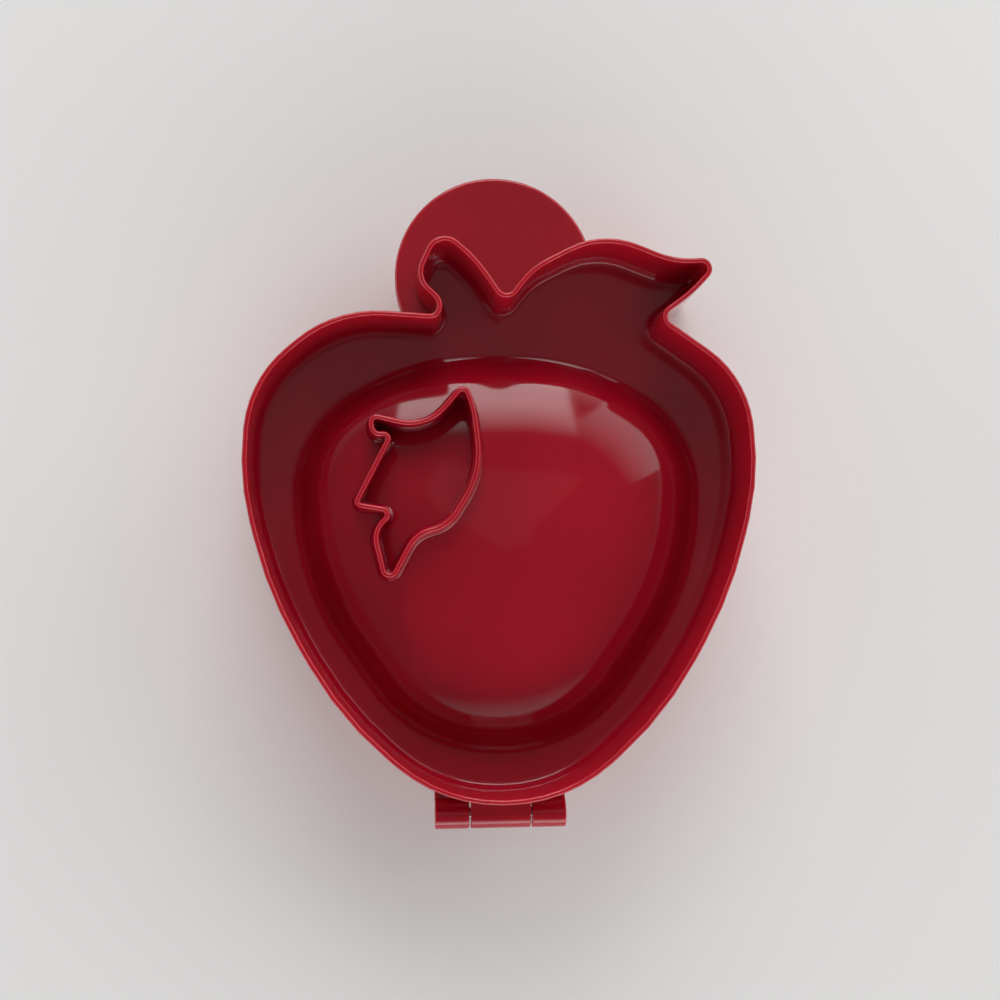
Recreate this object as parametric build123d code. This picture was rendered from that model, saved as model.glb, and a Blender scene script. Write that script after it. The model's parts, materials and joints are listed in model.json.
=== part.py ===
from build123d import *
import math
import os

# Hinged hand-pie (empanada) press in the shape of an apple, closed and lying flat.
# Millimetres. +Z is up and +Y runs from the hinge to the stem, the leaf and the finger tabs.
# The origin is the centre of the closed press's footprint, on the lower half's cutting rim.

# ---- Apple ----
APPLE_WIDTH = 114.0  # middle of the cutting edge, side to side
APPLE_LENGTH = 126.0  # middle of the cutting edge, hinge end to the top of the leaf
HALF_THICKNESS = 20.5  # one half, parting face to cutting rim
PARTING_GAP = 0.3  # between the two parting faces when the press is shut

# ---- Moulded walls ----
FLANGE_THICKNESS = 2.2
RIM_THICKNESS = 1.2  # cutting wall just under the bevels of its edge
ROOT_THICKNESS = 2.0  # cutting wall at the flange
RIM_BEVEL = 0.3  # on both edges of the cutting rim

# ---- Filling cavity, and the dome that is its back ----
CAVITY_DEPTH = 13.8
CAVITY_DRAFT = 38.0  # degrees that the side of the cavity leans
CAVITY_SHOULDER = 26.0  # radius between the side and the flat bottom of the cavity
SHELL_THICKNESS = 2.0
DOME_FOOT = 1.3  # height of the gentler slope where the dome leaves the flange
DOME_FOOT_DRAFT = 62.0  # degrees that this slope leans

# ---- Crimping ring ----
CRIMP_PITCH = 4.4
CRIMP_LENGTH = 5.2  # across the ring
CRIMP_ROOT = 1.7  # width of a tooth at its root
CRIMP_TIP = 0.9  # width of a tooth at its tip
CRIMP_RISE = 0.6  # that a tooth stands past the parting face, and its channel lies below it
CRIMP_END_GAP = 0.4  # between the ends of a tooth and the sides of the channel
CRIMP_MARGIN = 1.0  # between the mouth of the cavity and the channel

# ---- Vent cutter, on the back of the upper half ----
VENT_THICKNESS = 1.2
VENT_SETBACK = 0.4  # below the plane of the apple's cutting rim

# ---- Finger tabs ----
TAB_RADIUS = 23.5
TAB_FROM_TOP = 5.2  # centre of the disc below the top of the leaf
TAB_THICKNESS = 2.4
TAB_LIFT = 0.8  # between the parting face and the tab, for a fingertip
TAB_BEVEL = 0.6  # round both edges

# ---- Hinge ----
KNUCKLE_RADIUS = 3.5
OUTER_KNUCKLE = 8.0  # length of each of the lower half's two knuckles
MIDDLE_KNUCKLE = 14.0  # length of the upper half's knuckle
KNUCKLE_GAP = 0.3  # end play between knuckles
HINGE_GAP = 0.7  # between a knuckle and the apple
PIN_RADIUS = 1.3
PIN_RUNNING_FIT = 0.06  # radial, in the upper half's knuckle
PIN_RECESS = 0.4  # that each end of the pin lies inside the hinge
PIN_CHAMFER = 0.3
HINGE_LENGTH = 2 * OUTER_KNUCKLE + MIDDLE_KNUCKLE + 2 * KNUCKLE_GAP

# Corners of the cutting line, drawn at DRAWN_WIDTH by DRAWN_LENGTH, with x from the middle of
# the apple and y from its hinge end. Each is rounded by an arc whose tangents take up the given
# share of the shorter side that meets there: 0.48 at both ends of a side leaves hardly a straight.
DRAWN_WIDTH = 113.0
DRAWN_LENGTH = 126.0
SIDE = [  # right side from the hinge end up, mirrored for the left
    (13.5, 0.0, 0.48),
    (35.5, 19.0, 0.48),
    (51.0, 46.5, 0.48),
    (57.5, 73.0, 0.48),
    (55.0, 94.5, 0.48),
]
LEAF = [  # from its root on the right shoulder, round the tip, to the notch beside the stem
    (35.5, 108.5, 0.35),
    (43.5, 114.0, 0.48),
    (50.0, 121.5, 0.45),
    (39.5, 121.0, 0.4),
    (23.5, 127.5, 0.48),
    (7.5, 119.5, 0.45),
    (1.5, 111.5, 0.35),
]
STEM = [  # from the notch over the stem to the left shoulder
    (-5.5, 122.0, 0.45),
    (-13.5, 128.5, 0.48),
    (-18.5, 117.5, 0.45),
    (-13.0, 112.0, 0.45),
    (-14.0, 108.5, 0.45),
]
LEFT_SHOULDER = [(-36.5, 110.0, 0.48)]
CAVITY = [  # right side of the cavity's mouth from the hinge end up, mirrored for the left
    (18.0, 11.0, 0.48),
    (44.0, 48.5, 0.48),
    (46.0, 83.5, 0.48),
    (19.5, 100.0, 0.48),
]

# Corners of the vent cutter's leaf, from its stalk round the smooth side to the toothed side.
VENT = [
    (-25.5, 48.0, 0.3),
    (-19.0, 60.0, 0.48),
    (-12.0, 61.5, 0.48),
    (-4.5, 73.5, 0.48),
    (-6.0, 88.0, 0.45),
    (-8.0, 93.5, 0.4),
    (-16.5, 83.5, 0.48),
    (-29.0, 86.5, 0.4),
    (-28.5, 82.0, 0.45),
    (-24.3, 82.4, 0.45),
    (-32.5, 66.5, 0.15),
    (-24.0, 65.0, 0.4),
    (-28.5, 60.5, 0.48),
]

TOUCH = 0.01  # nearer than this counts as touching, where edges and faces are picked out

# ---- Worked out from the above ----
FLANGE_EDGE = ROOT_THICKNESS / 2  # how far the flange passes the cutting line
HINGE_Y = -FLANGE_EDGE - HINGE_GAP - KNUCKLE_RADIUS
HINGE_Z = -PARTING_GAP / 2  # from a half's own parting face
TAB_Y = APPLE_LENGTH - TAB_FROM_TOP
MIDDLE_OF_FOOTPRINT = (HINGE_Y - KNUCKLE_RADIUS + TAB_Y + TAB_RADIUS) / 2
CRIMP_CENTRE = CRIMP_MARGIN + CRIMP_LENGTH / 2  # from the mouth of the cavity


def drawn(corners, mirrored=False):
    """Corners at the driving size, as points and bends, optionally mirrored in X."""
    across = APPLE_WIDTH / DRAWN_WIDTH * (-1 if mirrored else 1)
    along = APPLE_LENGTH / DRAWN_LENGTH
    placed = [(Vector(x * across, y * along), bend) for x, y, bend in corners]
    return placed[::-1] if mirrored else placed


def rounded_outline(corners, grow=0.0):
    """Closed outline through rounded corners, moved outward by grow and parallel all the way.

    The corners run anticlockwise. A corner's arc keeps its centre as the outline grows, so every
    outline of one set of corners has the same edges, in the same order.
    """
    points, radii = [], []
    for i, (point, bend) in enumerate(corners):
        back = point - corners[i - 1][0]
        ahead = corners[(i + 1) % len(corners)][0] - point
        turn = math.radians(back.get_signed_angle(ahead, Vector(0, 0, 1)))
        tangent = bend * min(back.length, ahead.length)
        outward = back.normalized().cross(Vector(0, 0, 1))
        shift = outward * grow + back.normalized() * (grow * math.tan(turn / 2))
        points.append(point + shift)
        radii.append(tangent / math.tan(abs(turn) / 2) + grow * math.copysign(1, turn))
    return make_face(FilletPolyline(*points, radius=radii, close=True))


def apple_corners():
    """Corners of the apple with stem and leaf, anticlockwise from the hinge end."""
    return drawn(SIDE + LEAF + STEM + LEFT_SHOULDER) + drawn(SIDE, mirrored=True)


def cavity_corners():
    """Corners of the cavity's mouth, anticlockwise from the hinge end."""
    return drawn(CAVITY) + drawn(CAVITY, mirrored=True)


def tiers(corners, steps):
    """Solid through parallel outlines, each given by its height and how far it is grown."""
    return loft([Pos(0, 0, z) * rounded_outline(corners, grow) for z, grow in steps], ruled=True)


def cutting_wall():
    """Wall along the apple's outline, drafted from the flange to a rim with bevelled edges."""
    outside = [
        (FLANGE_THICKNESS, ROOT_THICKNESS / 2),
        (HALF_THICKNESS - RIM_BEVEL, RIM_THICKNESS / 2),
        (HALF_THICKNESS, RIM_THICKNESS / 2 - RIM_BEVEL),
    ]
    inside = [(z, -grow) for z, grow in outside]
    return tiers(apple_corners(), outside) - tiers(apple_corners(), inside)


def leaning(low, low_grow, height, lean):
    """Solid over the cavity's mouth whose side leans in by an even angle."""
    block = extrude(Pos(0, 0, low) * rounded_outline(cavity_corners(), low_grow), amount=height)
    sides = [face for face in block.faces() if abs(face.normal_at().Z) < TOUCH]
    return draft(sides, Plane.XY.offset(low), lean)


def shoulder():
    """Radius of the cavity's shoulder, no wider than its side and its tightest corner leave room."""
    mouth = rounded_outline(cavity_corners())
    tightest = min(edge.radius for edge in mouth.edges().filter_by(GeomType.CIRCLE))
    lean = math.radians(CAVITY_DRAFT)
    room = tightest - CAVITY_DEPTH * math.tan(lean) - TOUCH
    return min(CAVITY_SHOULDER, room * math.cos(lean) / (1 - math.sin(lean)))


def dome(spread):
    """Flat-topped dome over the cavity's mouth: the cavity itself at 0, its back at one shell."""
    height = CAVITY_DEPTH + spread
    block = leaning(0, spread / math.cos(math.radians(CAVITY_DRAFT)), height, CAVITY_DRAFT)
    top = block.faces().sort_by(Axis.Z)[-1]
    return fillet(top.edges(), shoulder() + spread)


def dome_foot():
    """Gentler slope round the back of the dome, up from the flange."""
    lean = math.radians(CAVITY_DRAFT)
    top_grow = SHELL_THICKNESS / math.cos(lean) - (FLANGE_THICKNESS + DOME_FOOT) * math.tan(lean)
    low_grow = top_grow + DOME_FOOT * math.tan(math.radians(DOME_FOOT_DRAFT))
    return leaning(FLANGE_THICKNESS, low_grow, DOME_FOOT, DOME_FOOT_DRAFT)


def crimp_tooth():
    """One tooth, pointing down from the bottom of its channel, with its length along Y."""
    root = Pos(0, 0, CRIMP_RISE) * Rectangle(CRIMP_ROOT, CRIMP_LENGTH - 2 * CRIMP_END_GAP)
    tip = Pos(0, 0, -CRIMP_RISE) * Rectangle(CRIMP_TIP, CRIMP_LENGTH - 2 * CRIMP_END_GAP)
    return loft([root, tip], ruled=True)


def crimp_channel():
    """Shallow channel round the cavity that takes the other half's teeth."""
    outer = CRIMP_CENTRE + CRIMP_LENGTH / 2
    inner = CRIMP_CENTRE - CRIMP_LENGTH / 2
    ring = rounded_outline(cavity_corners(), outer) - rounded_outline(cavity_corners(), inner)
    return extrude(ring, amount=CRIMP_RISE)


def crimp_teeth(phase):
    """Teeth all round the channel, set along it by a share of their pitch."""
    path = rounded_outline(cavity_corners(), CRIMP_CENTRE).faces()[0].outer_wire()
    count = round(path.length / CRIMP_PITCH)
    tooth = crimp_tooth()
    teeth = []
    for i in range(count):
        share = (i + phase) / count
        seat = Plane(origin=path.position_at(share), x_dir=path.tangent_at(share), z_dir=(0, 0, 1))
        teeth.append(seat * tooth)
    return teeth


def outside_apple(shape):
    """What of the shape lies outside the middle of the cutting wall."""
    low = -2 * KNUCKLE_RADIUS
    return shape - extrude(Pos(0, 0, low) * rounded_outline(apple_corners()), amount=-2 * low)


def finger_tab():
    """Round disc that stands out past stem and leaf, clear of the parting face."""
    disc = Pos(0, TAB_Y, TAB_LIFT + TAB_THICKNESS / 2) * Cylinder(TAB_RADIUS, TAB_THICKNESS)
    return outside_apple(chamfer(disc.edges().filter_by(GeomType.CIRCLE), TAB_BEVEL))


def knuckle(start, length):
    """Hinge knuckle from x = start, with the web that ties it to the apple."""
    middle = start + length / 2
    barrel = Pos(middle, HINGE_Y, HINGE_Z) * Rot(0, 90, 0) * Cylinder(KNUCKLE_RADIUS, length)
    reach = APPLE_LENGTH / 2 - HINGE_Y
    height = KNUCKLE_RADIUS + HINGE_Z
    web = Pos(middle, HINGE_Y + reach / 2, height / 2) * Box(length, reach, height)
    return barrel + outside_apple(web)


def pin_bore(radius):
    """Bore along the hinge axis."""
    return Pos(0, HINGE_Y, HINGE_Z) * Rot(0, 90, 0) * Cylinder(radius, 2 * HINGE_LENGTH)


def vent_cutter():
    """Leaf-shaped wall that stands on the dome and cuts the steam vent."""
    low = CAVITY_DEPTH / 2
    outside = rounded_outline(drawn(VENT), VENT_THICKNESS / 2)
    inside = rounded_outline(drawn(VENT), -VENT_THICKNESS / 2)
    return extrude(Pos(0, 0, low) * (outside - inside), amount=HALF_THICKNESS - VENT_SETBACK - low)


def half(phase):
    """What the two halves share, with its parting face at z = 0 and its back upwards."""
    flange = extrude(rounded_outline(apple_corners(), FLANGE_EDGE), amount=FLANGE_THICKNESS)
    body = flange + dome(SHELL_THICKNESS) + dome_foot() + cutting_wall() + finger_tab()
    body = body - crimp_channel()
    return body + crimp_teeth(phase)


def upper_half():
    """Half with the vent cutter and the middle knuckle."""
    body = half(0) + vent_cutter()
    body = body + knuckle(-MIDDLE_KNUCKLE / 2, MIDDLE_KNUCKLE)
    body = body - dome(0) - pin_bore(PIN_RADIUS + PIN_RUNNING_FIT)
    return Pos(0, 0, HALF_THICKNESS + PARTING_GAP) * body


def lower_half():
    """Half with the two outer knuckles, turned back downwards."""
    start = MIDDLE_KNUCKLE / 2 + KNUCKLE_GAP
    body = half(0.5) + knuckle(start, OUTER_KNUCKLE) + knuckle(-start - OUTER_KNUCKLE, OUTER_KNUCKLE)
    body = body - dome(0) - pin_bore(PIN_RADIUS)
    return Pos(0, 0, HALF_THICKNESS) * mirror(body, about=Plane.XY)


def hinge_pin():
    """Plain pin through all three knuckles."""
    pin = Cylinder(PIN_RADIUS, HINGE_LENGTH - 2 * PIN_RECESS)
    pin = chamfer(pin.edges().filter_by(GeomType.CIRCLE), PIN_CHAMFER)
    return Pos(0, HINGE_Y, HALF_THICKNESS - HINGE_Z) * Rot(0, 90, 0) * pin


PIECES = {"upper_half": upper_half, "lower_half": lower_half, "hinge_pin": hinge_pin}

os.makedirs("parts", exist_ok=True)
for node, build in PIECES.items():
    piece = Pos(0, -MIDDLE_OF_FOOTPRINT, 0) * build()
    export_step(piece, f"parts/{node}.step")
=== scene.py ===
"""Looks of a hinged hand-pie press in the shape of an apple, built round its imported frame.

Each moulded half is rebuilt as one fine smooth shell in place of its CAD node: rings of vertices
are spun corner by corner along the apple's outline or the mouth of the cavity, and bridged.
Sizes are millimetres until a mesh is finished, and metres from then on.
"""

import json
import logging
import math
from dataclasses import dataclass, field
from enum import Enum

import bmesh
import bpy
from mathutils import Matrix, Vector
from mathutils.bvhtree import BVHTree

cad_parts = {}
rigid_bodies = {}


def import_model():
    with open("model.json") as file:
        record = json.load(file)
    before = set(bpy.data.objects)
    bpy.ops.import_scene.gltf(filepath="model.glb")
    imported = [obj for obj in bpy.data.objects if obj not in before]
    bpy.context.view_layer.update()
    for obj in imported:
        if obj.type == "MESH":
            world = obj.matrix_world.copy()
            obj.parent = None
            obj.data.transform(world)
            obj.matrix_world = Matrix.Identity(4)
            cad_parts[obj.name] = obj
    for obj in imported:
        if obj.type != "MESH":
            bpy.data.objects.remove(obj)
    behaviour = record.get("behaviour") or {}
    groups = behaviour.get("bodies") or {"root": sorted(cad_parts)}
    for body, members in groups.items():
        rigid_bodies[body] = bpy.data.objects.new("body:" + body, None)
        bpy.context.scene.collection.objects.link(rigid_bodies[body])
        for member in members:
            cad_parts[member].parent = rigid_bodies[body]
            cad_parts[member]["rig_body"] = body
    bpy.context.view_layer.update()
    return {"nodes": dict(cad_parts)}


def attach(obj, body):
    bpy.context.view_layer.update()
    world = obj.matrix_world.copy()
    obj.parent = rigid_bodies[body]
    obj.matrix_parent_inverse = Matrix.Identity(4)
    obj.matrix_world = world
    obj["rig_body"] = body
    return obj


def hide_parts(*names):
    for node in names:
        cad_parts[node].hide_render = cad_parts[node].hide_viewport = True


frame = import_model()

MM = 0.001
CREASE = math.radians(38)  # edges that turn further than this are shaded sharp
NOISE_LOW, NOISE_HIGH = 0.3, 0.7  # between which nearly all of a noise lies
LOG = logging.getLogger("press")

Corner = tuple[float, float, float]  # x, y and the share of a side that its tangent takes up
Step = tuple[float, float]  # height above the parting face, and how far an outline is grown
Ring = list[bmesh.types.BMVert]


class Side(Enum):
    """Which half of the press a piece belongs to, by its CAD node."""

    UPPER = "upper_half"
    LOWER = "lower_half"


class Combine(Enum):
    """What is done with the second of two closed meshes."""

    ADD = "UNION"
    CUT = "DIFFERENCE"


# ---------------------------------------------------------------------------------------------
# Finishes
# ---------------------------------------------------------------------------------------------


def linear(colour: str) -> tuple[float, float, float, float]:
    """Turns an sRGB colour into the linear values a shader takes.

    Args:
        colour: Six hex digits, such as "8C0E1E".

    Returns:
        Linear red, green, blue and an alpha of 1.
    """
    parts = [int(colour[i : i + 2], 16) / 255 for i in (0, 2, 4)]
    red, green, blue = [p / 12.92 if p <= 0.04045 else ((p + 0.055) / 1.055) ** 2.4 for p in parts]
    return red, green, blue, 1.0


class Nodes:
    """Node tree of a material, world or lamp, with one call to add a node, set and link it."""

    def __init__(self, owner: bpy.types.ID) -> None:
        """Takes a material, a world or a lamp and empties its tree."""
        self.owner = owner
        owner.use_nodes = True
        self.tree = owner.node_tree
        self.tree.nodes.clear()

    def add(self, kind: str, settings: dict | None = None, **inputs: object) -> bpy.types.Node:
        """Adds a node.

        Args:
            kind: The node's type name without its ShaderNode prefix.
            settings: Values of the node's own properties.
            inputs: Values or output sockets for its inputs, with _ for each space in a name.

        Returns:
            The new node.
        """
        node = self.tree.nodes.new(f"ShaderNode{kind}")
        for name, value in (settings or {}).items():
            setattr(node, name, value)
        for name, value in inputs.items():
            socket = node.inputs[name.replace("_", " ")]
            if isinstance(value, bpy.types.NodeSocket):
                self.tree.links.new(value, socket)
            else:
                socket.default_value = value
        return node

    def place(self) -> bpy.types.NodeSocket:
        """Position on the piece, in metres."""
        return self.add("TexCoord").outputs["Object"]

    def noise(self, cell: float, **inputs: object) -> bpy.types.NodeSocket:
        """Noise with cells of a size in millimetres, from 0 to 1."""
        node = self.add("TexNoise", Vector=self.place(), Scale=1 / (cell * MM), **inputs)
        return node.outputs["Fac"]

    def between(self, fac: bpy.types.NodeSocket, low: float, high: float) -> bpy.types.NodeSocket:
        """Spreads a noise over a range."""
        spread = {"From_Min": NOISE_LOW, "From_Max": NOISE_HIGH, "To_Min": low, "To_Max": high}
        return self.add("MapRange", Value=fac, **spread).outputs["Result"]

    def blend(self, fac: bpy.types.NodeSocket, low: str, high: str) -> bpy.types.NodeSocket:
        """Runs from one sRGB colour to another over a noise."""
        ramp = self.add("ValToRGB", Fac=fac)
        ends = ((NOISE_LOW, low), (NOISE_HIGH, high))
        for element, (position, colour) in zip(ramp.color_ramp.elements, ends):
            element.position = position
            element.color = linear(colour)
        return ramp.outputs["Color"]

    def finish(self, shader: bpy.types.Node) -> bpy.types.Material:
        """Links a shader to the output and returns the material."""
        self.add("OutputMaterial", Surface=shader.outputs[0])
        return self.owner


@dataclass(frozen=True)
class MouldedPlastic:
    """Injection-moulded polypropylene, dyed through, against a polished mould."""

    name: str
    deep: str = "9C0B20"  # where the dye lies a little thicker
    bright: str = "A80E25"
    roughness: tuple[float, float] = (0.07, 0.12)
    wave: float = 0.02  # strength of the slow sinks and waves left by cooling
    mark_size: float = 28.0
    patch_size: float = 17.0
    wave_size: float = 24.0

    def make(self) -> bpy.types.Material:
        """Builds the material."""
        nodes = Nodes(bpy.data.materials.new(self.name))
        # The colour hardly varies: only slow flow marks some centimetres long show in the red.
        colour = nodes.blend(nodes.noise(self.mark_size, Detail=3.0), self.deep, self.bright)
        # The gloss is a touch duller in patches, from handling and from release wax.
        dulled = nodes.between(nodes.noise(self.patch_size, Detail=4.0), *self.roughness)
        # A reflection wavers over long shallow sinks, as it does on any thin moulded wall.
        sinks = nodes.noise(self.wave_size, Detail=1.0)
        waves = nodes.add("Bump", Height=sinks, Strength=self.wave, Distance=1 * MM)
        # The wall lets a little light through, so a thin rim glows redder than a flat face.
        shader = nodes.add(
            "BsdfPrincipled",
            Base_Color=colour,
            Roughness=dulled,
            IOR=1.49,
            Subsurface_Weight=0.5,
            Subsurface_Scale=0.004,
            Subsurface_Radius=(1.0, 0.08, 0.1),
            Normal=waves.outputs["Normal"],
        )
        return nodes.finish(shader)


@dataclass(frozen=True)
class DrawnSteel:
    """Stainless wire drawn through a die and cut off, with fine lines along its length."""

    name: str
    dark: str = "A9A7A4"  # in the lines
    bright: str = "B9B7B4"
    line_width: float = 0.12
    stretch: float = 0.04  # of the pattern along the wire

    def make(self) -> bpy.types.Material:
        """Builds the material."""
        nodes = Nodes(bpy.data.materials.new(self.name))
        stretched = nodes.add("Mapping", Vector=nodes.place(), Scale=(self.stretch, 1.0, 1.0))
        # The die leaves hair lines many times longer than they are wide.
        along, scale = stretched.outputs["Vector"], 1 / (self.line_width * MM)
        lines = nodes.add("TexNoise", Vector=along, Scale=scale, Detail=3.0)
        scratch = nodes.add("Bump", Height=lines.outputs["Fac"], Strength=0.15, Distance=0.02 * MM)
        shader = nodes.add(
            "BsdfPrincipled",
            Base_Color=nodes.blend(lines.outputs["Fac"], self.dark, self.bright),
            Metallic=1.0,
            Roughness=nodes.between(lines.outputs["Fac"], 0.22, 0.34),
            Anisotropic=0.5,
            Normal=scratch.outputs["Normal"],
        )
        return nodes.finish(shader)


@dataclass(frozen=True)
class PaperSweep:
    """Seamless pale paper under the press, matt, and as light to the eye as its colour."""

    name: str
    colour: str = "F0EFEE"

    def make(self) -> bpy.types.Material:
        """Builds the material."""
        nodes = Nodes(bpy.data.materials.new(self.name))
        shader = nodes.add("BsdfPrincipled", Base_Color=linear(self.colour), Roughness=0.95)
        return nodes.finish(shader)


class Finishes:
    """The finishes of the press, each made once."""

    def __init__(self) -> None:
        """Makes every material."""
        self.gloss = MouldedPlastic("red_polypropylene_polished_mould").make()
        self.steel = DrawnSteel("stainless_wire_drawn").make()
        self.paper = PaperSweep("seamless_paper_matt").make()


# ---------------------------------------------------------------------------------------------
# Outlines
# ---------------------------------------------------------------------------------------------


@dataclass(frozen=True)
class Arc:
    """One rounded corner of an outline: it keeps its centre as the outline grows."""

    centre: Vector
    outward: Vector  # unit, from the line that comes in
    radius: float
    turn: float  # radians, positive to the left
    steps: int

    def spin(self, grow: float) -> list[Vector]:
        """Spins one vertex round the corner.

        Args:
            grow: How far the outline is grown.

        Returns:
            Places along the corner, level with the parting face.
        """
        sign = math.copysign(1, self.turn)
        reach = self.outward * sign * (self.radius + sign * grow)
        centre = self.centre.to_3d()
        mesh = bmesh.new()
        first = mesh.verts.new(centre + reach.to_3d())
        bmesh.ops.spin(
            mesh, geom=[first], cent=centre, axis=(0, 0, 1), angle=self.turn, steps=self.steps
        )
        places = [vert.co.copy() for vert in mesh.verts]
        mesh.free()
        return places


class Outline:
    """Closed line through rounded corners, from which parallel rings are made."""

    fewest_facets = 3  # round one corner

    def __init__(self, corners: list[Corner], fineness: float) -> None:
        """Works out the corners' arcs.

        Args:
            corners: The corners, anticlockwise.
            fineness: Degrees of turn to a facet.
        """
        points = [Vector((x, y)) for x, y, _ in corners]
        self.arcs: list[Arc] = []
        for i, (point, (_, _, bend)) in enumerate(zip(points, corners)):
            back = point - points[i - 1]
            ahead = points[(i + 1) % len(points)] - point
            turn = -back.angle_signed(ahead)
            tangent = bend * min(back.length, ahead.length)
            radius = tangent / math.tan(abs(turn) / 2)
            along = back.normalized()
            outward = Vector((along.y, -along.x))
            centre = point - along * tangent - outward * math.copysign(radius, turn)
            steps = max(self.fewest_facets, math.ceil(math.degrees(abs(turn)) / fineness))
            self.arcs.append(Arc(centre, outward, radius, turn, steps))

    def ring(self, mesh: bmesh.types.BMesh, height: float, grow: float) -> Ring:
        """Adds one ring of vertices and edges, parallel to the outline."""
        lift = Vector((0, 0, height))
        ring = [mesh.verts.new(place + lift) for arc in self.arcs for place in arc.spin(grow)]
        for pair in zip(ring, ring[1:] + ring[:1]):
            mesh.edges.new(pair)
        return ring

    def tube(self, mesh: bmesh.types.BMesh, steps: list[Step]) -> tuple[Ring, Ring]:
        """Adds a ring for each step, and bridges each to the next or fills the flat between them.

        Args:
            mesh: Mesh that takes the faces.
            steps: Height and growth of each ring.

        Returns:
            The first ring and the last.
        """
        rings = [self.ring(mesh, *step) for step in steps]
        for low, high in zip(rings, rings[1:]):
            if low[0].co.z == high[0].co.z:
                fill(mesh, low, high)
            else:
                bmesh.ops.bridge_loops(mesh, edges=edges_of(low) + edges_of(high))
        return rings[0], rings[-1]


def edges_of(ring: Ring) -> list[bmesh.types.BMEdge]:
    """Edges between the neighbours of a closed ring."""
    pairs = zip(ring, ring[1:] + ring[:1])
    return [edge for a, b in pairs for edge in a.link_edges if edge.other_vert(a) is b]


def fill(mesh: bmesh.types.BMesh, *rings: Ring) -> None:
    """Fills the flat between rings that lie level."""
    edges = [edge for ring in rings for edge in edges_of(ring)]
    bmesh.ops.triangle_fill(mesh, use_beauty=True, edges=edges, normal=(0, 0, 1))


def rounding(centre: Step, radius: float, start: float, end: float, count: int) -> list[Step]:
    """Steps round an arc in the section through a wall.

    Args:
        centre: Height and growth of the arc's centre.
        radius: Its radius.
        start: Degrees of its first step, 0 pointing outward and 90 up.
        end: Degrees of its last step.
        count: How many facets the arc has.

    Returns:
        Height and growth of each step.
    """
    angles = [math.radians(start + (end - start) * i / count) for i in range(count + 1)]
    return [(centre[0] + radius * math.sin(a), centre[1] + radius * math.cos(a)) for a in angles]


def mirrored(corners: list[Corner]) -> list[Corner]:
    """Corners on the other side of the middle, in the order that closes the line."""
    return [(-x, y, bend) for x, y, bend in reversed(corners)]


# ---------------------------------------------------------------------------------------------
# Sub-assemblies
# ---------------------------------------------------------------------------------------------


@dataclass
class Press:
    """Sizes that all sub-assemblies share, and the outlines drawn with them."""

    widen: float = 114.0 / 113.0  # width of the press over the width its corners are given for
    half: float = 20.5  # thickness of a half, parting face to rim
    gap: float = 0.3  # between the parting faces when shut
    middle: float = 67.8  # of the footprint, from the hinge end of the cutting line
    flange: float = 2.2
    edge: float = 1.0  # how far the flange passes the cutting line
    knuckle: float = 3.5  # radius
    hinge_y: float = -5.2
    apple_facet: float = 7.0  # degrees of turn to a facet, here and below
    cavity_facet: float = 3.0
    cutter_facet: float = 9.0
    right: list[Corner] = field(
        default_factory=lambda: [
            (13.5, 0.0, 0.48),
            (35.5, 19.0, 0.48),
            (51.0, 46.5, 0.48),
            (57.5, 73.0, 0.48),
            (55.0, 94.5, 0.48),
        ]
    )
    leaf: list[Corner] = field(
        default_factory=lambda: [
            (35.5, 108.5, 0.35),
            (43.5, 114.0, 0.48),
            (50.0, 121.5, 0.45),
            (39.5, 121.0, 0.4),
            (23.5, 127.5, 0.48),
            (7.5, 119.5, 0.45),
            (1.5, 111.5, 0.35),
        ]
    )
    stem: list[Corner] = field(
        default_factory=lambda: [
            (-5.5, 122.0, 0.45),
            (-13.5, 128.5, 0.48),
            (-18.5, 117.5, 0.45),
            (-13.0, 112.0, 0.45),
            (-14.0, 108.5, 0.45),
            (-36.5, 110.0, 0.48),
        ]
    )
    mouth: list[Corner] = field(
        default_factory=lambda: [
            (18.0, 11.0, 0.48),
            (44.0, 48.5, 0.48),
            (46.0, 83.5, 0.48),
            (19.5, 100.0, 0.48),
        ]
    )
    vent: list[Corner] = field(
        default_factory=lambda: [
            (-25.5, 48.0, 0.3),
            (-19.0, 60.0, 0.48),
            (-12.0, 61.5, 0.48),
            (-4.5, 73.5, 0.48),
            (-6.0, 88.0, 0.45),
            (-8.0, 93.5, 0.4),
            (-16.5, 83.5, 0.48),
            (-29.0, 86.5, 0.4),
            (-28.5, 82.0, 0.45),
            (-24.3, 82.4, 0.45),
            (-32.5, 66.5, 0.15),
            (-24.0, 65.0, 0.4),
            (-28.5, 60.5, 0.48),
        ]
    )

    def outline(self, corners: list[Corner], fineness: float) -> Outline:
        """Outline through corners, widened to the width of the press."""
        return Outline([(x * self.widen, y, bend) for x, y, bend in corners], fineness)

    def apple(self) -> Outline:
        """Middle of the cutting wall."""
        corners = self.right + self.leaf + self.stem + mirrored(self.right)
        return self.outline(corners, self.apple_facet)

    def cavity(self) -> Outline:
        """Mouth of the cavity."""
        return self.outline(self.mouth + mirrored(self.mouth), self.cavity_facet)

    def cutter(self) -> Outline:
        """Middle of the vent cutter's wall."""
        return self.outline(self.vent, self.cutter_facet)

    def prism(self) -> bmesh.types.BMesh:
        """Solid as wide as the middle of the cutting wall, to trim what runs into it."""
        mesh = bmesh.new()
        for ring in self.apple().tube(mesh, [(-self.half, 0.0), (self.half, 0.0)]):
            fill(mesh, ring)
        return mesh

    def settle(self, mesh: bmesh.types.BMesh, side: Side) -> None:
        """Moves a half's mesh from its own parting face to its place in the press, in metres."""
        up = 1 if side is Side.UPPER else -1
        lift = self.half + (self.gap if side is Side.UPPER else 0)
        turn = Matrix.Diagonal((1, 1, up, 1))
        place = Matrix.Translation((0, -self.middle, lift))
        bmesh.ops.transform(mesh, matrix=Matrix.Scale(MM, 4) @ place @ turn, verts=mesh.verts)


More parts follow.
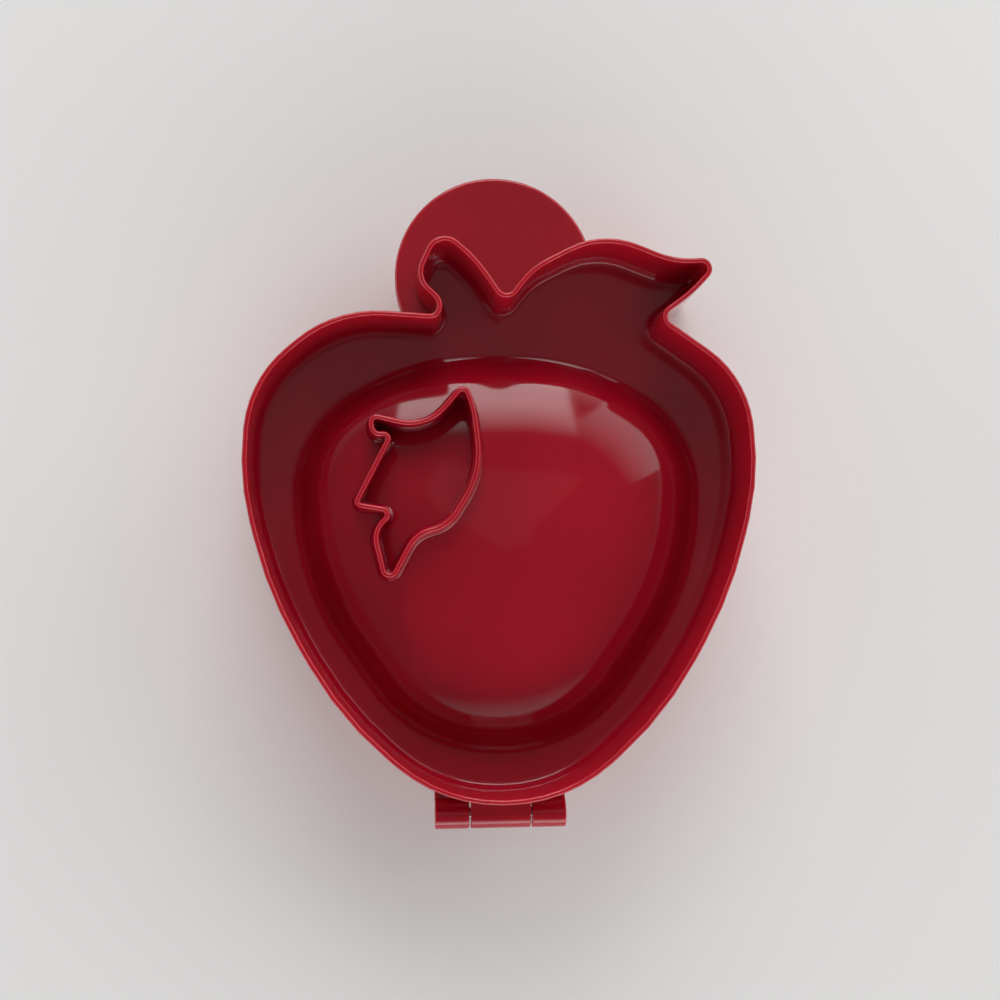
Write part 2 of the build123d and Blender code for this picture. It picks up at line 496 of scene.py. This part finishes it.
def add_piece(
    name: str, mesh: bmesh.types.BMesh, node: str, finish: bpy.types.Material
) -> bpy.types.Object:
    """Makes a finished piece of a mesh, in place of a CAD node.

    Args:
        name: The piece's name.
        mesh: Its mesh in metres, which is freed.
        node: The CAD node that it replaces and whose body it rides on.
        finish: Its material.

    Returns:
        The piece.
    """
    bmesh.ops.recalc_face_normals(mesh, faces=mesh.faces)
    for face in mesh.faces:
        face.smooth = True
    for edge in mesh.edges:
        edge.smooth = edge.calc_face_angle(0) < CREASE
    data = bpy.data.meshes.new(name)
    mesh.to_mesh(data)
    mesh.free()
    data.materials.append(finish)
    piece = bpy.data.objects.new(name, data)
    bpy.context.scene.collection.objects.link(piece)
    level = piece.modifiers.new("even_normals", "WEIGHTED_NORMAL")
    level.keep_sharp = True
    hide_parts(node)
    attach(piece, frame["nodes"][node]["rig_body"])
    LOG.info("%s: %d faces", name, len(data.polygons))
    return piece


def combine(
    mesh: bmesh.types.BMesh, other: bmesh.types.BMesh, how: Combine
) -> bmesh.types.BMesh:
    """Joins or cuts one closed mesh with another.

    Args:
        mesh: The first mesh, which is freed.
        other: The second mesh, which is freed.
        how: Whether the second is added or taken away.

    Returns:
        The mesh that is left.
    """
    things = []
    for part in (mesh, other):
        bmesh.ops.recalc_face_normals(part, faces=part.faces)
        data = bpy.data.meshes.new("part")
        part.to_mesh(data)
        part.free()
        things.append(bpy.data.objects.new("part", data))
        bpy.context.scene.collection.objects.link(things[-1])
    cut = things[0].modifiers.new("cut", "BOOLEAN")
    cut.operation, cut.solver, cut.object = how.value, "EXACT", things[1]
    left = bmesh.new()
    left.from_object(things[0], bpy.context.evaluated_depsgraph_get())
    for thing in things:
        data = thing.data
        bpy.data.objects.remove(thing)
        bpy.data.meshes.remove(data)
    return left


def join(mesh: bmesh.types.BMesh, other: bmesh.types.BMesh) -> None:
    """Adds another mesh to a mesh, and frees the other."""
    data = bpy.data.meshes.new("joined")
    other.to_mesh(data)
    other.free()
    mesh.from_mesh(data)
    bpy.data.meshes.remove(data)


@dataclass
class Shell:
    """Flange, cutting wall, dome and cavity of one half, as one closed skin."""

    press: Press
    rim: float = 1.2  # thickness of the cutting wall at its edge
    root: float = 1.4  # fillet inside, at the foot of the cutting wall
    edge_round: float = 0.25  # of the parting face's outer edge
    thickness: float = 2.0
    lean: float = 38.0  # degrees of the cavity's side from upright
    side: float = 5.4  # height of the straight side
    shoulders: tuple[tuple[float, float], ...] = ((7.0, 61.0), (48.0, 77.0))  # radius, its end
    foot: float = 4.0  # fillet outside, where the dome leaves the flange
    crown_radius: float = 25.0  # mean distance from the end of the shoulder to the middle
    level_lines: tuple[float, ...] = (0.95, 0.89, 0.82, 0.74, 0.65, 0.55, 0.44, 0.32, 0.19, 0.06)
    arc_facets: int = 10  # in the section of the rim, the foot and each shoulder

    def wall(self) -> list[Step]:
        """Section of the cutting wall, from the parting face over the rim to the trough."""
        edge, flange, top = self.press.edge, self.press.flange, self.press.half
        round_rim, inner = self.rim / 2, -self.press.edge
        return [
            *rounding((self.edge_round, edge - self.edge_round), self.edge_round, -90, 0, 3),
            (flange, edge),
            *rounding((top - round_rim, 0), round_rim, 0, 180, self.arc_facets),
            *rounding((flange + self.root, inner - self.root), self.root, 0, -90, 5),
        ]

    def dome(self, spread: float) -> list[Step]:
        """Section of the dome: its side and shoulder, as far as the crown.

        Args:
            spread: 0 for the cavity, or the thickness of the shell for its back.

        Returns:
            Height and growth of each step, from the side's foot up.
        """
        lean = math.radians(self.lean)
        slope = math.tan(lean)
        steps: list[Step] = [(0.0, 0.0)]
        if spread:
            base, r = self.press.flange, self.foot
            at = (spread + r) / math.cos(lean) - (base + r) * slope
            steps = rounding((base + r, at), r, -90, self.lean - 180, self.arc_facets)
        # Each arc of the shoulder takes up where the one below it ends, a wider one higher up.
        end, start = (self.side, -self.side * slope), self.lean
        for radius, stop in self.shoulders:
            turn = math.radians(start)
            centre = (end[0] - radius * math.sin(turn), end[1] - radius * math.cos(turn))
            arc = rounding(centre, radius + spread, start, stop, self.arc_facets)
            steps += arc[start > self.lean :]
            end, start = rounding(centre, radius, start, stop, 1)[1], stop
        return steps

    def crown_over(self, mesh: bmesh.types.BMesh, ring: Ring) -> None:
        """Closes a dome with a shallow crown.

        Its level lines run parallel to the shoulder's top at first, and end as circles.

        Args:
            mesh: The shell's mesh.
            ring: Top ring of the shoulder.
        """
        centre = sum((v.co for v in ring), Vector()) / len(ring)
        mean = self.crown_radius
        rise = mean * math.tan(math.radians(90 - self.shoulders[-1][1])) / 2
        edges, last = edges_of(ring), 1.0
        for share in self.level_lines:
            result = bmesh.ops.extrude_edge_only(mesh, edges=edges)["geom"]
            edges = [part for part in result if isinstance(part, bmesh.types.BMEdge)]
            keep = (share / last) ** 2 * (3 - 2 * share) / (3 - 2 * last)
            for vert in (part for part in result if isinstance(part, bmesh.types.BMVert)):
                spoke = (vert.co - centre) * Vector((1, 1, 0))
                uneven = spoke.length - mean * last
                vert.co += spoke.normalized() * (mean * share + uneven * keep) - spoke
                vert.co.z += rise * (last**2 - share**2)
            last = share
        bmesh.ops.contextual_create(mesh, geom=edges)

    def build(self, crimp: "CrimpRing") -> bmesh.types.BMesh:
        """Builds the skin, with the crimping channel in its parting face."""
        apple, cavity = self.press.apple(), self.press.cavity()
        mesh = bmesh.new()
        outside, trough = apple.tube(mesh, self.wall())
        foot, shoulder = cavity.tube(mesh, self.dome(self.thickness))
        fill(mesh, trough, foot)
        self.crown_over(mesh, shoulder)
        channel, mouth = cavity.tube(mesh, crimp.channel())
        fill(mesh, outside, channel)
        low, high = cavity.tube(mesh, self.dome(0))
        bmesh.ops.bridge_loops(mesh, edges=edges_of(mouth) + edges_of(low))
        self.crown_over(mesh, high)
        bmesh.ops.remove_doubles(mesh, verts=mesh.verts, dist=1e-4)
        return mesh


@dataclass
class CrimpRing:
    """Shallow channel round the cavity and the drafted teeth that stand in it."""

    press: Press
    pitch: float = 4.4
    length: float = 5.2  # of the channel's section, across the ring
    root: float = 1.7  # width of a tooth at its root
    tip: float = 0.9  # width of a tooth at its tip
    rise: float = 0.6  # of a tooth past the parting face, and of the channel below it
    end_gap: float = 0.4  # between a tooth's ends and the channel
    margin: float = 1.0  # between the channel and the mouth of the cavity
    lip: float = 0.25  # flat strip that keeps the mouth's edge crisp
    tooth_bevel: float = 0.12

    def channel(self) -> list[Step]:
        """Section of the channel, from its outer edge to the mouth of the cavity."""
        inner, outer = self.margin, self.margin + self.length
        return [(0, outer), (self.rise, outer), (self.rise, inner), (0, inner), (0, self.lip)]

    def tooth(self) -> bmesh.types.BMesh:
        """One tooth, its length along Y and its tip down."""
        mesh = bmesh.new()
        bmesh.ops.create_cube(mesh, size=1.0)
        size = (self.root, self.length - 2 * self.end_gap, 2 * self.rise)
        bmesh.ops.scale(mesh, vec=size, verts=mesh.verts)
        tip = [v for v in mesh.verts if v.co.z < 0]
        bmesh.ops.scale(mesh, vec=(self.tip / self.root, 1, 1), verts=tip)
        edges = [e for e in mesh.edges if min(v.co.z for v in e.verts) < 0]
        round_edges(mesh, edges, self.tooth_bevel, 2)
        return mesh

    def teeth(self, phase: float) -> bmesh.types.BMesh:
        """Builds the teeth all round.

        Args:
            phase: Share of the pitch by which the ring is turned.

        Returns:
            Their mesh.
        """
        centre = self.margin + self.length / 2
        path = [place for arc in self.press.cavity().arcs for place in arc.spin(centre)]
        mesh = bmesh.new()
        spans = list(zip(path, path[1:] + path[:1]))
        total = sum((b - a).length for a, b in spans)
        count = round(total / self.pitch)
        template = bpy.data.meshes.new("tooth")
        tooth = self.tooth()
        tooth.to_mesh(template)
        tooth.free()
        for i in range(count):
            left = (i + phase) / count * total
            for a, b in spans:
                if left <= (b - a).length:
                    break
                left -= (b - a).length
            along = (b - a).normalized()
            turn = along.to_track_quat("X", "Z").to_matrix().to_4x4()
            seat = Matrix.Translation(a + along * left) @ turn
            start = len(mesh.verts)
            mesh.from_mesh(template)
            mesh.verts.ensure_lookup_table()
            bmesh.ops.transform(mesh, matrix=seat, verts=mesh.verts[start:])
        bpy.data.meshes.remove(template)
        return mesh


@dataclass
class VentCutter:
    """Leaf-shaped blade on the dome of the upper half that cuts the steam vent."""

    press: Press
    rim: float = 1.2
    root: float = 1.6
    setback: float = 0.4  # below the apple's cutting rim
    flare: float = 0.7  # reach of the fillet at its foot
    sunk: float = 0.8  # that its foot lies inside the dome
    above: float = 5.0  # over the rim, from where the dome is looked for

    def build(self, dome: BVHTree) -> bmesh.types.BMesh:
        """Builds the blade, with its foot sunk into the dome.

        Args:
            dome: Faces of the shell that it stands on.

        Returns:
            The blade's mesh.
        """
        outline, mesh = self.press.cutter(), bmesh.new()
        top = self.press.half - self.setback
        half_rim, half_root, flare = self.rim / 2, self.root / 2, self.flare
        side = [(0.0, half_root + flare), (1.0, half_root + flare * 0.8)]
        side += [(2.0, half_root + flare * 0.12), (3.0, half_root)]
        # Each ring of the foot is drawn at a height of its own, then set this far over the dome.
        feet = {0.0: -self.sunk, 1.0: 0.02, 2.0: flare * 0.6, 3.0: flare}
        over = rounding((top - half_rim, 0), half_rim, 0, 180, 8)
        low, high = outline.tube(mesh, side + over + [(z, -grow) for z, grow in reversed(side)])
        fill(mesh, low, high)
        for vert in mesh.verts:
            if vert.co.z in feet:
                above = Vector((vert.co.x, vert.co.y, self.press.half + self.above))
                surface = dome.ray_cast(above, Vector((0, 0, -1)))[0].z
                vert.co.z = surface + feet[vert.co.z]
        return mesh


@dataclass
class FingerTab:
    """Round disc behind stem and leaf, clear of the parting face."""

    press: Press
    radius: float = 23.5
    centre: float = 120.8
    thickness: float = 2.4
    lift: float = 0.8  # off the parting face, for a fingertip
    edge_round: float = 0.8

    def build(self) -> bmesh.types.BMesh:
        """Builds the whole disc."""
        mesh = bmesh.new()
        bmesh.ops.create_circle(mesh, cap_ends=True, radius=self.radius, segments=128)
        grown = bmesh.ops.extrude_face_region(mesh, geom=mesh.faces[:])["geom"]
        verts = [part for part in grown if isinstance(part, bmesh.types.BMVert)]
        bmesh.ops.translate(mesh, vec=(0, 0, self.thickness), verts=verts)
        round_level_edges(mesh, self.edge_round, 4)
        bmesh.ops.translate(mesh, vec=(0, self.centre, self.lift), verts=mesh.verts)
        return mesh


def round_bar(centre: tuple, radius: float, length: float, bevel: float = 0) -> bmesh.types.BMesh:
    """Builds a round bar along X.

    Args:
        centre: Its middle.
        radius: Its radius.
        length: Its length.
        bevel: Reach of the rounding of its ends.

    Returns:
        The bar's mesh.
    """
    mesh = bmesh.new()
    bmesh.ops.create_cone(
        mesh, cap_ends=True, segments=64, radius1=radius, radius2=radius, depth=length
    )
    if bevel:
        round_level_edges(mesh, bevel, 3)
    turn = Matrix.Translation(centre) @ Matrix.Rotation(math.pi / 2, 4, "Y")
    bmesh.ops.transform(mesh, matrix=turn, verts=mesh.verts)
    return mesh


def round_level_edges(mesh: bmesh.types.BMesh, reach: float, segments: int) -> None:
    """Rounds the edges that lie level, such as both rims of a disc."""
    level = [e for e in mesh.edges if abs(e.verts[0].co.z - e.verts[1].co.z) < 1e-6]
    round_edges(mesh, level, reach, segments)


def round_edges(
    mesh: bmesh.types.BMesh, edges: list[bmesh.types.BMEdge], reach: float, segments: int
) -> None:
    """Rounds some edges of a mesh.

    Args:
        mesh: The mesh.
        edges: Its edges to round.
        reach: How far from an edge the rounding begins.
        segments: How many facets it has.
    """
    bmesh.ops.bevel(
        mesh,
        geom=edges,
        offset=reach,
        segments=segments,
        affect="EDGES",
        profile=0.5,
        material=-1,
    )


@dataclass
class Knuckle:
    """Hinge barrel along X, with the web that ties it to the apple."""

    press: Press
    start: float  # its end that lies lowest in x
    length: float
    reach: float = 12.0  # of the web, from the barrel's axis
    end_round: float = 0.3

    def build(self) -> bmesh.types.BMesh:
        """Builds barrel and web as one closed mesh."""
        low = -self.press.gap / 2
        middle = self.start + self.length / 2
        centre = (middle, self.press.hinge_y, low)
        barrel = round_bar(centre, self.press.knuckle, self.length, self.end_round)
        web = bmesh.new()
        height = self.press.knuckle + low
        bmesh.ops.create_cube(web, size=1.0)
        bmesh.ops.scale(web, vec=(self.length, self.reach, height), verts=web.verts)
        place = (middle, self.press.hinge_y + self.reach / 2, height / 2)
        bmesh.ops.translate(web, vec=place, verts=web.verts)
        return combine(barrel, web, Combine.ADD)


@dataclass
class MouldedHalf:
    """One moulded half of the press, with everything that is moulded in one piece with it."""

    press: Press
    side: Side
    outer_knuckle: float = 8.0
    middle_knuckle: float = 14.0
    knuckle_gap: float = 0.3
    bore: float = 1.36  # radius
    drill: float = 60.0  # length of the bar that cuts the bore, past both ends of the hinge

    def knuckles(self) -> list[Knuckle]:
        """The half's own hinge knuckles."""
        if self.side is Side.UPPER:
            return [Knuckle(self.press, -self.middle_knuckle / 2, self.middle_knuckle)]
        start = self.middle_knuckle / 2 + self.knuckle_gap
        return [
            Knuckle(self.press, at, self.outer_knuckle)
            for at in (start, -start - self.outer_knuckle)
        ]

    def outside(self) -> bmesh.types.BMesh:
        """Builds the tab and the knuckles, trimmed where they run into the cutting wall."""
        left = combine(FingerTab(self.press).build(), self.press.prism(), Combine.CUT)
        axis = (0, self.press.hinge_y, -self.press.gap / 2)
        for knuckle in self.knuckles():
            trimmed = combine(knuckle.build(), self.press.prism(), Combine.CUT)
            join(left, combine(trimmed, round_bar(axis, self.bore, self.drill), Combine.CUT))
        return left

    def build(self, finishes: Finishes) -> bpy.types.Object:
        """Builds the half and adds it to the scene."""
        crimp = CrimpRing(self.press)
        mesh = Shell(self.press).build(crimp)
        dome = BVHTree.FromBMesh(mesh)
        join(mesh, crimp.teeth(0.0 if self.side is Side.UPPER else 0.5))
        if self.side is Side.UPPER:
            join(mesh, VentCutter(self.press).build(dome))
        join(mesh, self.outside())
        self.press.settle(mesh, self.side)
        name = "upper_shell" if self.side is Side.UPPER else "lower_shell"
        return add_piece(name, mesh, self.side.value, finishes.gloss)


@dataclass
class HingePin:
    """Plain steel pin through the three knuckles."""

    press: Press
    radius: float = 1.3
    length: float = 29.8
    chamfer: float = 0.3

    def build(self, finishes: Finishes) -> bpy.types.Object:
        """Builds the pin and adds it to the scene."""
        axis = (0, self.press.hinge_y, -self.press.gap / 2)
        mesh = round_bar(axis, self.radius, self.length, self.chamfer)
        self.press.settle(mesh, Side.UPPER)
        return add_piece("pin_wire", mesh, "hinge_pin", finishes.steel)


# ---------------------------------------------------------------------------------------------
# Studio
# ---------------------------------------------------------------------------------------------


@dataclass(frozen=True)
class Softbox:
    """Rectangular soft lamp that faces the press."""

    name: str
    direction: tuple[float, float, float]
    size: tuple[float, float]  # as it would be a metre away
    watts: float  # likewise
    fade: tuple[float, float]  # shares of its height between which it dims to nothing
    distance: float = 3.0
    aim: float = 0.03  # height that it faces, in metres

    def hang(self) -> None:
        """Adds the lamp."""
        lamp = bpy.data.lights.new(self.name, "AREA")
        lamp.shape = "RECTANGLE"
        lamp.size, lamp.size_y = (side * self.distance for side in self.size)
        lamp.energy = self.watts * self.distance**2
        nodes = Nodes(lamp)
        place = nodes.add("NewGeometry").outputs["Parametric"]
        height = nodes.add("SeparateXYZ", Vector=place).outputs["Y"]
        start, end = self.fade
        dim = nodes.add(
            "MapRange", Value=height, From_Min=start, From_Max=end, To_Min=1.0, To_Max=0.0
        )
        nodes.add(
            "OutputLight", Surface=nodes.add("Emission", Strength=dim.outputs[0]).outputs[0]
        )
        thing = bpy.data.objects.new(self.name, lamp)
        bpy.context.scene.collection.objects.link(thing)
        away = Vector(self.direction).normalized()
        thing.location = Vector((0, 0, self.aim)) + away * self.distance
        thing.rotation_euler = away.to_track_quat("Z", "Y").to_euler()


@dataclass
class Studio:
    """Pale paper sweep, soft lamps and the camera above the press."""

    floor_drop: float = 0.3  # of the paper below the press
    floor_reach: float = 12.0  # metres from its middle to a side
    glow: tuple[float, float] = (1.8, 0.15)  # of the room, near the floor and overhead
    backdrop: float = 0.8  # what is seen of the room behind the paper
    lamps: tuple[Softbox, ...] = (
        Softbox("window", (0.0, 0.77, 0.64), (0.65, 0.81), 7.0, (0.45, 0.85)),
        Softbox("window_side", (0.75, 0.6, 0.72), (0.72, 0.75), 2.7, (0.45, 0.9)),
        Softbox("ceiling", (0.05, 0.2, 0.97), (0.4, 0.4), 0.07, (1.0, 1.1)),
        Softbox("front", (0.1, -0.8, 0.4), (1.5, 0.7), 6.0, (0.3, 0.9)),
    )
    camera_at: tuple[float, float, float] = (-23.0, -17.1, 390.2)
    looks_at: tuple[float, float, float] = (-0.47, -0.64, 41.3)
    up: tuple[float, float, float] = (0.012, 1.0, 0.0)
    view: float = 35.4  # degrees across the frame

    def build(self, finishes: Finishes) -> None:
        """Sets the floor, lamps, world and camera."""
        self.floor(finishes)
        for lamp in self.lamps:
            lamp.hang()
        self.world()
        self.camera()
        bpy.context.scene.view_settings.view_transform = "Standard"

    def floor(self, finishes: Finishes) -> None:
        """Lays the paper under the press."""
        mesh = bmesh.new()
        bmesh.ops.create_grid(mesh, x_segments=1, y_segments=1, size=self.floor_reach)
        bmesh.ops.translate(mesh, vec=(0, 0, -self.floor_drop * MM), verts=mesh.verts)
        data = bpy.data.meshes.new("paper")
        mesh.to_mesh(data)
        mesh.free()
        data.materials.append(finishes.paper)
        paper = bpy.data.objects.new("paper", data)
        bpy.context.scene.collection.objects.link(paper)

    def world(self) -> None:
        """Gives the room a pale glow, dimmer overhead than near the floor."""
        world = bpy.data.worlds.new("room")
        nodes = Nodes(world)
        height = nodes.add("SeparateXYZ", Vector=nodes.place()).outputs["Z"]
        glow = nodes.add(
            "MapRange",
            {"interpolation_type": "SMOOTHSTEP"},
            Value=height,
            From_Min=0.3,
            From_Max=0.55,
            To_Min=self.glow[0],
            To_Max=self.glow[1],
        ).outputs["Result"]
        seen = nodes.add("LightPath").outputs["Is Camera Ray"]
        strength = nodes.add("MapRange", Value=seen, To_Min=glow, To_Max=self.backdrop)
        shade = nodes.add("Background", Color=(1, 1, 1, 1), Strength=strength.outputs["Result"])
        nodes.add("OutputWorld", Surface=shade.outputs[0])
        bpy.context.scene.world = world

    def camera(self) -> None:
        """Stands the camera over the press."""
        data = bpy.data.cameras.new("camera")
        data.sensor_width = 36
        data.lens = 18 / math.tan(math.radians(self.view / 2))
        data.clip_start = 0.01
        thing = bpy.data.objects.new("camera", data)
        bpy.context.scene.collection.objects.link(thing)
        location, target = Vector(self.camera_at) * MM, Vector(self.looks_at) * MM
        back = (location - target).normalized()
        right = Vector(self.up).cross(back).normalized()
        turn = Matrix((right, back.cross(right), back)).transposed()
        thing.matrix_world = Matrix.Translation(location) @ turn.to_4x4()
        bpy.context.scene.camera = thing


def main() -> None:
    """Builds the press and its studio."""
    logging.basicConfig(level=logging.INFO, format="%(name)s %(message)s")
    press = Press()
    finishes = Finishes()
    MouldedHalf(press, Side.UPPER).build(finishes)
    MouldedHalf(press, Side.LOWER).build(finishes)
    HingePin(press).build(finishes)
    Studio().build(finishes)


if __name__ == "__main__":
    main()
